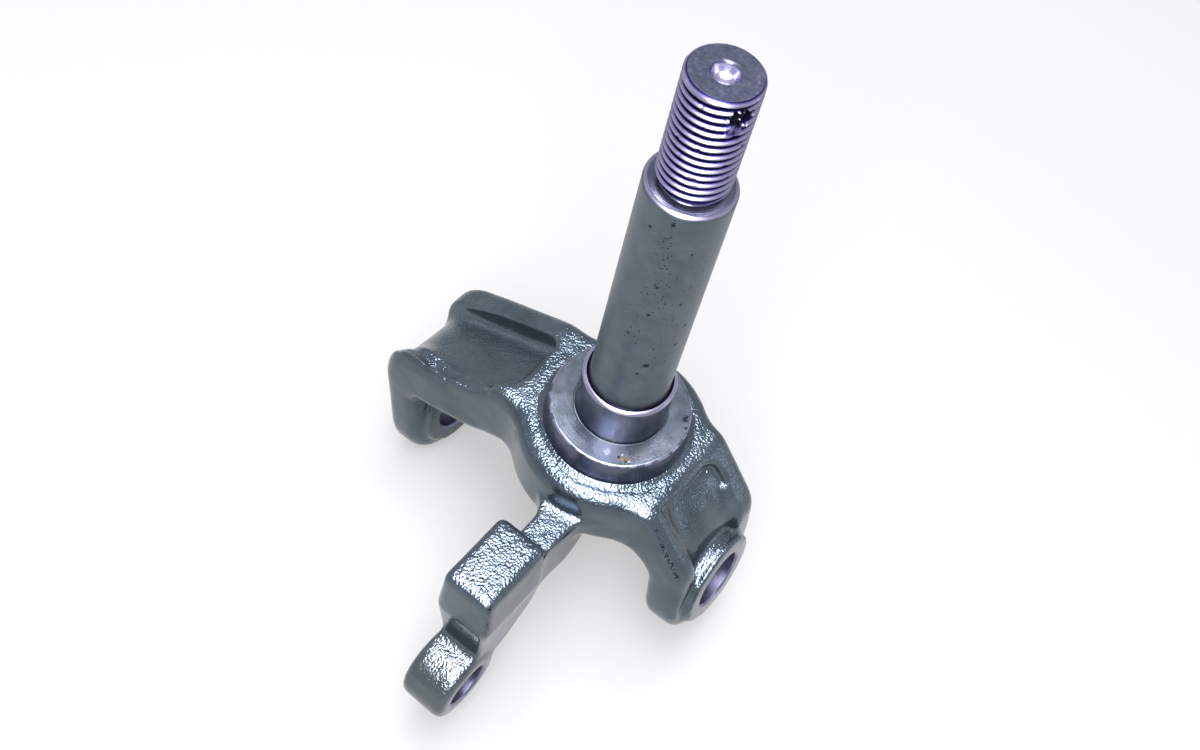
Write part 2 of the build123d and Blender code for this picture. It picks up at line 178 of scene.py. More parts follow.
# The forging: one body with blended junctions, bored after it is blended. Lengths are in mm.
forging = {
    "cell": 0.9,               # between points of the blended skin
    "blendTurns": 12,          # more turns make the junctions rounder
    "softTurns": 60,           # extra turns where the skin is softer
    "waviness": 0.10,          # the slow unevenness of a forged skin
    "wavelength": 14.0,
    "spindleCut": -10.9,       # the turned piece starts just above
    "lean": 7.2,               # degrees, kingpin inclination
    "drop": 72.0,              # from the seat's face down to the kingpin's axis
    "boreRadius": 12.5,
    "boreChamfer": 0.8,
    "lowerEar": (44.3, 64.0),  # both faces along the kingpin
    "upperEar": (-91.0, -72.7),
    "faceCut": 0.12,           # taken off the bosses when they are faced
    "lowerFacing": 24.0,       # radii of the facing cuts
    "upperFacing": 22.0,
    "eyeCentre": (5.2, -96.0, -75.0),
    "eyeRadius": 9.3,
    "eyeWidth": 20.0,
    "plugSpare": 1.0,          # how far the plugs stand into the bores' walls
    "plugSegments": 96,
    "boreSegments": 128,
    "eyeSegments": 96,
    "cutSpare": 8.0,           # how far the cutters reach past a face
    "boreMargin": 1.2,         # bored metal's colour reaches this far past a bore's radius
    "eyeMargin": 1.0,
    # where the skin is softer than elsewhere: middle and radii
    "softZones": [
        ((46, -3, -27), (12, 18, 15)),
        ((53, -22, -40), (9, 8, 17)),
    ],
    # edges that are rolled broader: path and half width
    "softRuns": [
        (ringOf(37.5, -13.5, -175, -35) + [(38, -24, -17), (45, -25, -25), (51, -25, -33)], 4.0),
        ([(-36, -23, -16), (-45, -25, -19)], 4.0),
        ([(-90, -22, -34), (-80, -24.6, -31), (-74, -25.7, -30.5), (-66, -25.3, -29)], 3.2),
    ],
    "softEnd": 61.5,           # along the kingpin, short of the lower boss's face
    "softFade": 3.0,
    # forms of the skin alone: middle, radii and push
    "forms": [
        ((-85, -18.5, -34), (11, 7, 15), (-0.5, 0, 7.0)),  # tall outer end of the upper ear's front rib
        ((-87, 15, -29), (7, 7, 9), (2.4, 0, -0.8)),       # round corner of its rear rib
        ((47, 1, -25), (10, 9, 9), (2.1, 0, 2.1)),         # crowned floor of the lower ear's trough
    ],
    # creases pressed into the skin: path, half width, depth, and how much height counts in the gap
    "creases": [
        ([(-90, -14.5, -32), (-84, -16.5, -30), (-77, -18.6, -28), (-70, -20.6, -27), (-64, -21.6, -26)],
         1.9, 2.0, 0.3),
        ([(36.9, -15.7, -15), (36.5, -8, -18), (36.5, 0, -19.5), (36.7, 9, -20), (39, 13, -20),
          (44.3, 13.6, -25)], 2.0, 1.8, 1.0),
        ([(36.9, -15.7, -15), (41.4, -17, -20.5), (46.6, -17, -26), (51.1, -16.3, -31)], 1.8, 1.0, 1.0),
    ],
    "bossFoot": (21.6, 61.3),  # crease round the lower boss: radius and place along the kingpin
    "bossCrease": (1.7, 0.9, 1.0),
    "collarFoot": (30.0, -12.4),  # crease round the seat's wall: radius and height
    "collarCrease": (1.8, 1.0, 1.0),
    # runs of rust pits along the parting line: path and half width
    "rustRuns": [
        ([(38.2, -24, -17.8), (45, -24.6, -26), (51.9, -24.7, -33.5), (56, -23, -44)], 2.4),
        ([(61.2, -16.5, -51.7), (63.0, -19, -59), (63.7, -19.6, -65.8)], 1.8),
        ([(14.2, -90, -14.5), (15.4, -91, -38)], 2.2),
        ([(14.9, -74.3, -16), (15.5, -60, -20), (14.5, -52, -28)], 1.6),
        ([(-20, -36, -18), (-38, -30, -18)], 1.2),
    ],
}

lean = math.radians(forging["lean"])
kingpinFrame = Matrix((
    (math.sin(lean), 0, math.cos(lean), 0),
    (0, 1, 0, 0),
    (-math.cos(lean), 0, math.sin(lean), -forging["drop"] * mm),
    (0, 0, 0, 1),
))
eyeFrame = Matrix.Translation(Vector(forging["eyeCentre"]) * mm) @ Matrix.Rotation(math.pi / 2, 4, "Y")


def blendForging():
    samePoint, onPlane = 1e-6, 1e-7  # m
    skin = bmesh.new()
    skin.from_mesh(knuckleNode.data)
    bmesh.ops.remove_doubles(skin, verts=skin.verts, dist=samePoint)
    cut = bmesh.ops.bisect_plane(
        skin, geom=skin.verts[:] + skin.edges[:] + skin.faces[:], dist=onPlane,
        plane_co=(0, 0, forging["spindleCut"] * mm), plane_no=(0, 0, 1), clear_outer=True,
    )
    rim = [e for e in cut["geom_cut"] if isinstance(e, bmesh.types.BMEdge)]
    bmesh.ops.holes_fill(skin, edges=rim, sides=0)
    # the bores are filled while the skin is blended, so their mouths stay crisp afterwards
    spare, half = forging["plugSpare"], forging["eyeWidth"] / 2
    boreRadius, eyeRadius = forging["boreRadius"] + spare, forging["eyeRadius"] + spare
    plugs = [
        (kingpinFrame, boreRadius, forging["lowerEar"]),
        (kingpinFrame, boreRadius, forging["upperEar"]),
        (eyeFrame, eyeRadius, (-half, half)),
    ]
    for place, radius, (start, stop) in plugs:
        plug = lathe([(0, start), (radius, start), (radius, stop), (0, stop)], forging["plugSegments"])
        plug.transform(place)
        addToBmesh(skin, plug)
    body = objectFromBmesh("knuckleForging", skin)
    remesh = body.modifiers.new("skin", "REMESH")
    remesh.mode = "VOXEL"
    remesh.voxel_size = forging["cell"] * mm
    remesh.adaptivity = 0.0
    relaxSkin(body, forging["blendTurns"])
    return body


def fadeAround(points, middle, radii):
    # 1 at the middle, fading smoothly to 0
    reach = (((points - np.array(middle)) / np.array(radii)) ** 2).sum(axis=1)
    return np.exp(-reach)


def softenZones(body):
    points, _ = vertexArrays(body)
    weight = np.zeros(len(points))
    for middle, radii in forging["softZones"]:
        weight = np.maximum(weight, fadeAround(points, middle, radii))
    for path, width in forging["softRuns"]:
        weight = np.maximum(weight, np.exp(-(distanceTo(points, path) / width) ** 2))
    # the lower boss's face isn't softened
    toPin = np.array(kingpinFrame.inverted())
    along = points @ toPin[2, :3] + toPin[2, 3] / mm
    weight *= np.clip((forging["softEnd"] - along) / forging["softFade"], 0, 1)
    levels = 10
    group = body.vertex_groups.new(name="soft")
    for level in range(1, levels + 1):
        chosen = np.nonzero(np.round(weight * levels) == level)[0]
        if len(chosen):
            group.add([int(i) for i in chosen], level / levels, "REPLACE")
    relaxSkin(body, forging["softTurns"], "soft")


def pressForms(body):
    points, normals = vertexArrays(body)
    for middle, radii, push in forging["forms"]:
        points += fadeAround(points, middle, radii)[:, None] * np.array(push)
    bossFoot = [kingpinFrame @ (Vector(point) * mm) / mm for point in ringOf(*forging["bossFoot"])]
    creases = forging["creases"] + [
        (bossFoot, *forging["bossCrease"]),
        (ringOf(*forging["collarFoot"]), *forging["collarCrease"]),
    ]
    # creases are pressed from above, so skin that looks down keeps its place
    facingFrom, steepness = -0.2, 5
    facing = np.clip((normals[:, 2:] - facingFrom) * steepness, 0, 1)
    for path, width, depth, upright in creases:
        squeeze = np.array([1.0, 1.0, upright])
        gap = distanceTo(points * squeeze, [np.array(point) * squeeze for point in path])
        points -= normals * facing * (depth * np.exp(-(gap / width) ** 2))[:, None]
    # a slow unevenness, mostly inwards, so highlights wander as they do on a forging
    fineShare, fineRate, fineShift, sunk = 0.45, 2.7, Vector((7.1, 3.3, 5.9)), 0.25
    for i, point in enumerate(points):
        place = Vector(point) / forging["wavelength"]
        lift = noise.noise(place) + fineShare * noise.noise(place * fineRate + fineShift)
        points[i] = point + normals[i] * (lift - sunk) * forging["waviness"]
    body.data.vertices.foreach_set("co", (points * mm).astype(np.float32).ravel())
    body.data.update()


def boreForging(body):
    radius, chamfer, face = forging["boreRadius"], forging["boreChamfer"], forging["faceCut"]
    upperOut, upperIn = forging["upperEar"]
    lowerIn, lowerOut = forging["lowerEar"]
    lowerReach, upperReach, far = forging["lowerFacing"], forging["upperFacing"], forging["cutSpare"]
    cutter = lathe([
        (0, upperOut - far),
        (radius + chamfer + far, upperOut - far),
        (radius, upperOut + chamfer),
        (radius, upperIn - face - chamfer),
        (radius + chamfer, upperIn - face),
        (upperReach, upperIn - face),
        (upperReach, upperIn + far),
        (radius, upperIn + far),
        (radius, lowerIn - far),
        (radius + chamfer + far, lowerIn - far),
        (radius, lowerIn + chamfer),
        (radius, lowerOut - face - chamfer),
        (radius + chamfer, lowerOut - face),
        (lowerReach, lowerOut - face),
        (lowerReach, lowerOut + far),
        (0, lowerOut + far),
    ], forging["boreSegments"])
    cutter.transform(kingpinFrame)
    cutWith(body, objectFromBmesh("kingpinCutter", cutter))
    half, eyeRadius = forging["eyeWidth"] / 2, forging["eyeRadius"]
    cutter = lathe([
        (0, -half - far), (eyeRadius + chamfer + far, -half - far), (eyeRadius, -half + chamfer),
        (eyeRadius, half - chamfer), (eyeRadius + chamfer + far, half + far), (0, half + far),
    ], forging["eyeSegments"])
    cutter.transform(eyeFrame)
    cutWith(body, objectFromBmesh("eyeCutter", cutter))


def rustForging(body):
    points, _ = vertexArrays(body)
    rust = np.zeros(len(points), np.float32)
    for path, width in forging["rustRuns"]:
        rust = np.maximum(rust, np.exp(-(distanceTo(points, path) / width) ** 2))
    layer = body.data.attributes.new("rust", "FLOAT", "POINT")
    layer.data.foreach_set("value", rust.astype(np.float32))


forgingBody = blendForging()
softenZones(forgingBody)
pressForms(forgingBody)
boreForging(forgingBody)
rustForging(forgingBody)
print("forging", len(forgingBody.data.polygons), "faces")

# The spindle: seat, inner bearing seat, journal and thread, all turned. Lengths are in mm, and the
# lists of pairs are points of a roll or groove, as radius and height from the corner that it is on.
spindle = {
    "segments": 192,
    "seatRadius": 27.0,
    "seatHeight": 10.0,
    "seatDraft": 1.1,         # how much wider the seat's wall is at its foot
    "seatSunk": 1.6,          # how far the wall goes down into the hub
    "footFlare": 0.15,
    "seatRoll": [(0.02, -1.1), (-0.03, -0.8), (-0.18, -0.5), (-0.42, -0.32)],
    "faceRim": [(-0.8, -0.25)],  # the seat's face falls a little towards its rim
    "innerRadius": 17.5,
    "innerLength": 20.8,
    "innerFoot": [(0.7, 0), (0.45, -0.3), (0.1, -0.25)],
    "innerStart": 0.5,
    "innerRoll": [(0, -1.3), (-0.06, -1.0), (-0.28, -0.62), (-0.62, -0.3), (-1.0, -0.1), (-1.3, 0)],
    "journalRadius": 15.0,
    "journalStart": 0.4,
    "journalEnd": 128.0,
    "journalGroove": [(1.0, -0.15), (0.55, -0.5), (0.15, -0.6), (0, -0.4)],
    "shoulder": [
        (0, -1.9), (-0.04, -1.4), (-0.22, -0.95), (-0.55, -0.6), (-0.95, -0.42), (-1.1, -0.5),
        (-1.25, -0.42), (-1.5, -0.18), (-2.4, 0.06), (-3.3, 0.26),
    ],
    "reliefRadius": 10.1,
    "reliefTop": 129.1,
    "reliefFoot": [(0.75, 0.38), (0.3, 0.5), (0, 0.8)],
    "end": 173.2,
    "threadRadius": 12.0,
    "threadPitch": 3.0,
    "threadDepth": 1.624,
    "threadOrigin": 128.878,  # height of the groove's middle at angle 0
    "tipBevel": 1.1,
    "tipStep": 0.25,          # from the bevel to the end face's first ring
    "tipBand": 1.1,           # plain metal above the first groove
    "bandFade": 0.5,
    "centreHoleRadius": 4.4,
    "centreHoleFloor": 3.3,   # radius at the floor
    "centreHoleDepth": 3.4,
    "centreRim": [(0.7, 0), (0.3, -0.05), (0, -0.3), (-0.35, -0.9)],
    "centreFoot": [(0.15, 0.9), (-0.2, 0.45)],
    "centreCup": [(0.66, 0.1), (0.33, -0.15), (0, -0.2)],  # shares of the floor's radius, and height
    "splitPinRadius": 2.0,
    "splitPinFromEnd": 6.7,
    "splitPinAngle": -26.0,   # degrees round the spindle
    "drillReach": 20.0,
    "drillSegments": 48,
    "tornSize": (4.2, 3.5),   # half width and half height of the metal torn round the split pin's mouth
    "tornDepth": (0.7, 1.6),  # below the crests, at once and more towards the middle
    "tornRaggedness": 0.45,
    "smearPlace": (-0.6, -4.6),  # metal smeared flat below the mouth, seen from the mouth's middle
    "smearSize": (3.2, 2.8),
    "smearDepth": 0.75,
    "smearWaviness": 0.5,
    # bands painted brighter as a highlight: from and to in height, and how far out they start, seen from
    # their corner
    "rolledHighlight": (-1.2, 0.05, 1.1),
    "shoulderHighlight": (-0.7, -0.35, -1.3),
    "rimHighlight": (-0.9, -0.28, -1.0),
    "rimHighlightNoise": (0.35, -0.15),  # rate of the noise, and the value from which the seat's rim gets the painted highlight
    "cupHighlight": -0.6,        # the centre hole's cup gets the painted highlight from here down
    # rows of faces, so that pits and the painted highlights on edges have points to sit on
    "seatRows": 12,
    "faceRows": 22,
    "innerRows": 26,
    "journalRows": 170,
    "endRows": 9,
    # dents and rust pits on the journal: degrees round it, height, radius and depth
    "pits": [
        (-72.6, 123.6, 0.9, 0.30), (-68.4, 92.6, 0.9, 0.30), (-99.0, 117.4, 0.8, 0.25),
        (-40.4, 111.2, 0.7, 0.20), (-68.9, 77.7, 0.8, 0.25), (-86.9, 64.3, 0.8, 0.25),
        (-51.3, 49.1, 1.3, 0.40), (-59.4, 43.6, 0.8, 0.25), (-33.6, 84.6, 0.8, 0.25),
        (-13.4, 70.4, 0.9, 0.25), (-19.2, 59.7, 0.8, 0.25),
    ],
    # runs of fine pits: degrees and height of both ends, half width, and how thick they lie
    "pitRuns": [
        ((-71.0, 125.0), (-70.0, 92.0), 1.6, 0.75),
        ((-60.0, 100.0), (-56.0, 82.0), 2.4, 0.30),
        ((-80.0, 92.0), (-84.0, 60.0), 2.2, 0.25),
        ((-40.0, 75.0), (-46.0, 40.0), 3.0, 0.20),
        ((-20.0, 112.0), (-22.0, 60.0), 2.5, 0.30),
    ],
    # across one pitch from the middle of the groove, place and height: root, flank, crest, flank, root
    "threadForm": [
        (0.0, 0.0), (0.125, 0.0), (0.40, 0.94), (0.4375, 1.0),
        (0.5625, 1.0), (0.60, 0.94), (0.875, 0.0), (1.0, 0.0),
    ],
    "threadRows": (0.0, 0.125, 0.26, 0.40, 0.4375, 0.5625, 0.60, 0.74, 0.875),
}


def threadHeightAt(phase):
    place = phase % 1.0
    form = spindle["threadForm"]
    for (a, low), (b, high) in zip(form, form[1:]):
        if place <= b:
            return low + (high - low) * (place - a) / (b - a)
    return 0.0


def between(first, last, count):
    # points from first to last, without the last
    return [
        tuple(start + (stop - start) * k / count for start, stop in zip(first, last))
        for k in range(count)
    ]


def fromCorner(radius, height, offsets):
    return [(radius + across, height + up) for across, up in offsets]


def tearMouth(radius, turned, below):
    # the drill for the split pin tore the metal round its mouth, and smeared it below; turned and
    # below are the place seen from the mouth's middle, in mm
    s = spindle
    tornRate, smearRates, slices = 0.9, (0.8, 0.5), (2.0, 9.0)  # of the noise
    depthSteepness, darkSteepness = 3, 8
    rough = noise.noise(Vector((turned * tornRate, below * tornRate, slices[0])))
    ragged = 1 + s["tornRaggedness"] * rough
    tornWide, tornTall = s["tornSize"]
    mouth = max(0.0, 1.0 - math.hypot(turned / tornWide, below / tornTall) / ragged)
    if mouth > 0:
        rimDepth, moreDepth = s["tornDepth"]
        deeper = moreDepth * min(1.0, mouth * depthSteepness)
        radius = min(radius, s["threadRadius"] - rimDepth - deeper)
    (across, up), (smearWide, smearTall) = s["smearPlace"], s["smearSize"]
    smear = max(0.0, 1.0 - math.hypot((turned - across) / smearWide, (below - up) / smearTall))
    if smear > 0:
        rough = noise.noise(Vector((turned * smearRates[0], below * smearRates[1], slices[1])))
        flat = s["threadRadius"] - s["smearDepth"] + s["smearWaviness"] * rough
        radius += (flat - radius) * min(1.0, smear * depthSteepness)
    # the metal round the mouth is coloured near black, fading out at its edge
    return radius, min(1.0, mouth * darkSteepness)


def turnThread():
    s = spindle
    segments, origin, pitch, end = s["segments"], s["threadOrigin"], s["threadPitch"], s["end"]
    start = s["journalEnd"] + s["reliefFoot"][-1][1]
    fade = s["bandFade"]
    pinHeight, pinAngle = end - s["splitPinFromEnd"], math.radians(s["splitPinAngle"])
    nickAround, nickUp, nickFrom = 5, 0.9, 0.42  # rates of the noise, and where a nick starts
    samePoint = 2e-6  # m
    mesh = bmesh.new()
    torn = mesh.verts.layers.float.new("torn")
    rows = []
    turns = int((end - origin) / pitch) + 2
    for turn in range(-2, turns + 1):
        for step in s["threadRows"]:
            row = []
            for i in range(segments):
                angle = 2 * math.pi * i / segments
                height = min(max(origin + pitch * (turn + step + i / segments), start), end)
                crest = threadHeightAt((height - origin) / pitch - i / segments)
                # the last millimetre before the end keeps its full width
                plain = min(1.0, max(0.0, (height - (end - s["tipBand"] - fade)) / fade))
                crest = crest + (1.0 - crest) * plain
                radius = s["threadRadius"] - s["threadDepth"] * (1.0 - crest)
                # the tool nicked the crests here and there
                nick = noise.noise(Vector((
                    math.cos(angle) * nickAround, math.sin(angle) * nickAround, height * nickUp,
                )))
                radius -= max(0.0, nick - nickFrom) * crest
                fadeIn = s["reliefRadius"] + max(0.0, height - s["reliefTop"])
                fadeOut = s["threadRadius"] - s["tipBevel"] + (end - height)
                radius = min(radius, fadeIn, fadeOut)
                turned = ((angle - pinAngle + math.pi) % (2 * math.pi) - math.pi) * s["threadRadius"]
                radius, tornHere = tearMouth(radius, turned, height - pinHeight)
                point = mesh.verts.new((
                    radius * mm * math.cos(angle), radius * mm * math.sin(angle), height * mm,
                ))
                point[torn] = tornHere
                row.append(point)
            rows.append(row)
    perTurn = len(s["threadRows"])
    for k in range(len(rows) - 1):
        for i in range(segments):
            if i + 1 < segments:
                corners = [rows[k][i], rows[k][i + 1], rows[k + 1][i + 1], rows[k + 1][i]]
            elif k + perTurn + 1 < len(rows):  # a helix row closes on the one a turn above it
                corners = [rows[k][i], rows[k + perTurn][0], rows[k + perTurn + 1][0], rows[k + 1][i]]
            else:
                continue
            mesh.faces.new(corners)
    bmesh.ops.remove_doubles(mesh, verts=mesh.verts, dist=samePoint)
    return mesh


def weldRing(mesh, tipRing):
    # joins the thread's last ring to the end face
    top, onPlane = spindle["end"] * mm, 1e-7
    ends = [v for v in mesh.verts if abs(v.co.z - top) < onPlane and v.is_boundary and v not in tipRing]
    ends.sort(key=lambda v: math.atan2(v.co.y, v.co.x) % (2 * math.pi))
    for i in range(len(tipRing)):
        j = (i + 1) % len(tipRing)
        mesh.faces.new([ends[i], ends[j], tipRing[j], tipRing[i]])


def turnSpindle():
    s = spindle
    segments, samePoint = s["segments"], 2e-6
    seat, inner, journal, relief = s["seatRadius"], s["innerRadius"], s["journalRadius"], s["reliefRadius"]
    innerTop, journalTop, end = s["innerLength"], s["journalEnd"], s["end"]
    foot, wallLow = seat + s["seatDraft"], -s["seatHeight"]
    seatRoll = fromCorner(seat, 0, s["seatRoll"])
    faceRim = fromCorner(seat, 0, s["faceRim"])
    innerFoot = fromCorner(inner, 0, s["innerFoot"])
    innerRoll = fromCorner(inner, innerTop, s["innerRoll"])
    shoulder = fromCorner(journal, journalTop, s["shoulder"])
    profile = [(0, wallLow - s["seatSunk"]), (foot + s["footFlare"], wallLow - s["seatSunk"])]
    profile += between((foot, wallLow), seatRoll[0], s["seatRows"]) + seatRoll
    profile += between(faceRim[0], innerFoot[0], s["faceRows"]) + innerFoot
    profile += between((inner, s["innerStart"]), innerRoll[0], s["innerRows"]) + innerRoll
    profile += fromCorner(journal, innerTop, s["journalGroove"])
    profile += between((journal, innerTop + s["journalStart"]), shoulder[0], s["journalRows"]) + shoulder
    profile += fromCorner(relief, journalTop, s["reliefFoot"])
    mesh = lathe(profile, segments, closed=False)
    mesh.verts.layers.float.new("torn")
    addToBmesh(mesh, turnThread())
    hole, floorRadius, floorHeight = s["centreHoleRadius"], s["centreHoleFloor"], end - s["centreHoleDepth"]
    rim = fromCorner(hole, end, s["centreRim"])
    tipRadius = s["threadRadius"] - s["tipBevel"] - s["tipStep"]
    tip = between((tipRadius, end), rim[0], s["endRows"]) + rim
    tip += fromCorner(floorRadius, floorHeight, s["centreFoot"])
    tip += [(floorRadius * share, floorHeight + up) for share, up in s["centreCup"]]
    count = len(mesh.verts)
    addToBmesh(mesh, lathe(tip, segments, closed=False))
    mesh.verts.ensure_lookup_table()
    weldRing(mesh, [mesh.verts[count + i] for i in range(segments)])
    bmesh.ops.remove_doubles(mesh, verts=mesh.verts, dist=samePoint)
    bmesh.ops.recalc_face_normals(mesh, faces=mesh.faces)
    return mesh


def isPaintedHighlight(x, y, z):
    # rolled edges and the cup of the centre hole get a brighter colour as a painted highlight, the seat's
    # rim only in places
    s = spindle
    radius, journal = math.hypot(x, y), s["journalRadius"]
    if s["journalEnd"] < z < s["end"] + s["cupHighlight"] and radius < s["centreHoleRadius"]:
        return True
    bands = [
        (journal, s["innerLength"], s["rolledHighlight"]),
        (journal, s["journalEnd"], s["shoulderHighlight"]),
    ]
    rate, highlightFrom = s["rimHighlightNoise"]
    if noise.noise(Vector((x, y, 0)) * rate) > highlightFrom:
        bands.append((s["seatRadius"], 0, s["rimHighlight"]))
    return any(
        height + low < z < height + high and radius > edge + out
        for edge, height, (low, high, out) in bands
    )


def markSpindle(mesh):
    # pits go inwards; fine pits, the dark groove and the painted highlight on edges are painted for the
    # material
    pitting = mesh.verts.layers.float.new("pitting")
    speckled = mesh.verts.layers.float.new("speckled")
    paintedHighlight = mesh.verts.layers.float.new("paintedHighlight")
    s = spindle
    seatTop, journal = s["innerLength"], s["journalRadius"]
    grooveLow, grooveHigh, grooveOut, grooveDarkness = seatTop - 0.65, seatTop - 0.05, journal + 1.05, 0.75
    pitsLow, pitsHigh, pitsOut = seatTop + 0.2, s["journalEnd"] - 1.0, journal - 0.5
    pitReach, raggedness, rate, darkSteepness = 3.0, 0.5, 1.1, 2.5
    for point in mesh.verts:
        x, y, z = point.co / mm
        radius = math.hypot(x, y)
        point[paintedHighlight] = 1.0 if isPaintedHighlight(x, y, z) else 0.0
        # the groove at the top of the inner seat is coloured dark
        point[pitting] = grooveDarkness if grooveLow < z < grooveHigh and radius < grooveOut else 0.0
        if not (pitsLow < z < pitsHigh and radius > pitsOut):
            continue
        angle = math.degrees(math.atan2(y, x))
        for (angleA, heightA), (angleB, heightB), width, thickness in s["pitRuns"]:
            place = min(1.0, max(0.0, (z - heightA) / (heightB - heightA)))
            across = math.radians(angle - angleA - (angleB - angleA) * place) * radius
            up = z - heightA - (heightB - heightA) * place
            fade = math.exp(-(across ** 2 + up ** 2) / width ** 2)
            point[speckled] = max(point[speckled], thickness * fade)
        for pitAngle, pitHeight, pitRadius, depth in s["pits"]:
            across = math.radians(angle - pitAngle) * radius
            up = z - pitHeight
            if abs(across) < pitReach and abs(up) < pitReach:
                ragged = 1 + raggedness * noise.noise(Vector((x, y, z)) * rate)
                fill = max(0.0, 1 - math.hypot(across, up) / (pitRadius * ragged))
                if fill > 0:
                    shrink = 1 - depth * fill / radius
                    point.co.x *= shrink
                    point.co.y *= shrink
                    point[pitting] = max(point[pitting], min(1.0, fill * darkSteepness))


def drillSplitPin(body):
    s = spindle
    radius, reach = s["splitPinRadius"], s["drillReach"]
    drill = lathe([(0, -reach), (radius, -reach), (radius, reach), (0, reach)], s["drillSegments"])
    drill.transform(
        Matrix.Translation((0, 0, (s["end"] - s["splitPinFromEnd"]) * mm))
        @ Matrix.Rotation(math.radians(s["splitPinAngle"]), 4, "Z")
        @ Matrix.Rotation(math.pi / 2, 4, "Y")
    )
    cutWith(body, objectFromBmesh("splitPinDrill", drill))


spindleMesh = turnSpindle()
markSpindle(spindleMesh)
spindleBody = objectFromBmesh("turnedSpindle", spindleMesh)
drillSplitPin(spindleBody)
print("spindle", len(spindleBody.data.polygons), "faces")


def newMaterial(name):
    material = bpy.data.materials.new(name)
    material.use_nodes = True
    tree = material.node_tree
    tree.nodes.clear()
    shader = addNode(tree, "ShaderNodeBsdfPrincipled")
    addNode(tree, "ShaderNodeOutputMaterial", {"Surface": shader.outputs["BSDF"]})
    return material, tree, shader


forgedFinish = {
    "dark": "#424d53",
    "light": "#545f66",
    "olive": "#5d5f58",       # where the skin has browned, on the tie-rod eye
    "oliveReach": (24, 12),   # mm from the eye's middle, where the brown starts and is full
    "pit": "#1b1d25",
    "cloudSize": 18,          # mm, patches of darker and lighter skin
    "dentSize": 4.5,          # mm, shallow dents
    "grainSize": 0.85,        # mm, marks of the shot
    "grainDepth": 0.30,       # mm
    "speckSize": 0.9,         # mm, rust pits
    "roughness": (0.15, 0.23),
    "metallic": 0.9,
}


def forgedSteel():
    # low-alloy steel forging, shot-blasted: grey with a faint teal, its top skin peened into grains
    # a little under 1 mm across that glint, its drawn side walls smoother
    look = forgedFinish
    material, tree, shader = newMaterial("shotBlastedForgedSteel")
    texture = addNode(tree, "ShaderNodeTexCoord")
    place = texture.outputs["Object"]
    slow = addNode(tree, "ShaderNodeTexNoise", {
        "Vector": place, "Scale": 1 / (look["cloudSize"] * mm), "Detail": 4.0, "Roughness": 0.6})
    tone = addNode(tree, "ShaderNodeValToRGB", {"Fac": slow.outputs["Fac"]}, stops=[
        (0.30, look["dark"]), (0.70, look["light"])])
    toEyeGap = addNode(tree, "ShaderNodeVectorMath", {
        0: place, 1: Vector(forging["eyeCentre"]) * mm}, operation="DISTANCE")
    oliveFrom, oliveFull = look["oliveReach"]
    browned = addNode(tree, "ShaderNodeMapRange", {
        "Value": toEyeGap.outputs["Value"], "From Min": oliveFrom * mm, "From Max": oliveFull * mm,
        "To Max": 0.6})
    olive = addNode(tree, "ShaderNodeMix", {
        0: browned.outputs["Result"], 6: tone.outputs["Color"], 7: toLinear(look["olive"])},
        data_type="RGBA")
    grain = addNode(tree, "ShaderNodeTexNoise", {
        "Vector": place, "Scale": 1 / (look["grainSize"] * mm), "Detail": 0.8, "Roughness": 0.45})
    coarse = addNode(tree, "ShaderNodeTexNoise", {
        "Vector": place, "Scale": 1 / (look["dentSize"] * mm), "Detail": 2.0})
    lumps = addNode(tree, "ShaderNodeMath", {
        0: grain.outputs["Fac"], 1: coarse.outputs["Fac"]}, operation="ADD")
    upward = addNode(tree, "ShaderNodeSeparateXYZ", {"Vector": texture.outputs["Normal"]})
    peened = addNode(tree, "ShaderNodeMapRange", {
        "Value": upward.outputs["Z"], "From Min": 0.30, "From Max": 0.85, "To Min": 0.22, "To Max": 1.0})
    fine = addNode(tree, "ShaderNodeTexNoise", {
        "Vector": place, "Scale": 1 / (look["speckSize"] * mm), "Detail": 3.0, "Roughness": 0.7})
    rust = addNode(tree, "ShaderNodeAttribute", attribute_name="rust")
    threshold = addNode(tree, "ShaderNodeMath", {
        0: fine.outputs["Fac"], 1: rust.outputs["Fac"]}, operation="MULTIPLY")
    pits = addNode(tree, "ShaderNodeMapRange", {
        "Value": threshold.outputs["Value"], "From Min": 0.44, "From Max": 0.50})
    dirty = addNode(tree, "ShaderNodeMix", {
        0: pits.outputs["Result"], 6: olive.outputs[2], 7: toLinear(look["pit"])}, data_type="RGBA")
    sunk = addNode(tree, "ShaderNodeMath", {
        0: lumps.outputs["Value"], 1: pits.outputs["Result"]}, operation="SUBTRACT")
    bump = addNode(tree, "ShaderNodeBump", {
        "Height": sunk.outputs["Value"], "Strength": peened.outputs["Result"],
        "Distance": look["grainDepth"] * mm})
    smoothest, roughest = look["roughness"]
    gloss = addNode(tree, "ShaderNodeMapRange", {
        "Value": coarse.outputs["Fac"], "From Min": 0.3, "From Max": 0.7,
        "To Min": smoothest, "To Max": roughest})
    feedNode(tree, shader, {
        "Base Color": dirty.outputs[2], "Roughness": gloss.outputs["Result"],
        "Normal": bump.outputs["Normal"], "Metallic": look["metallic"]})
    return material


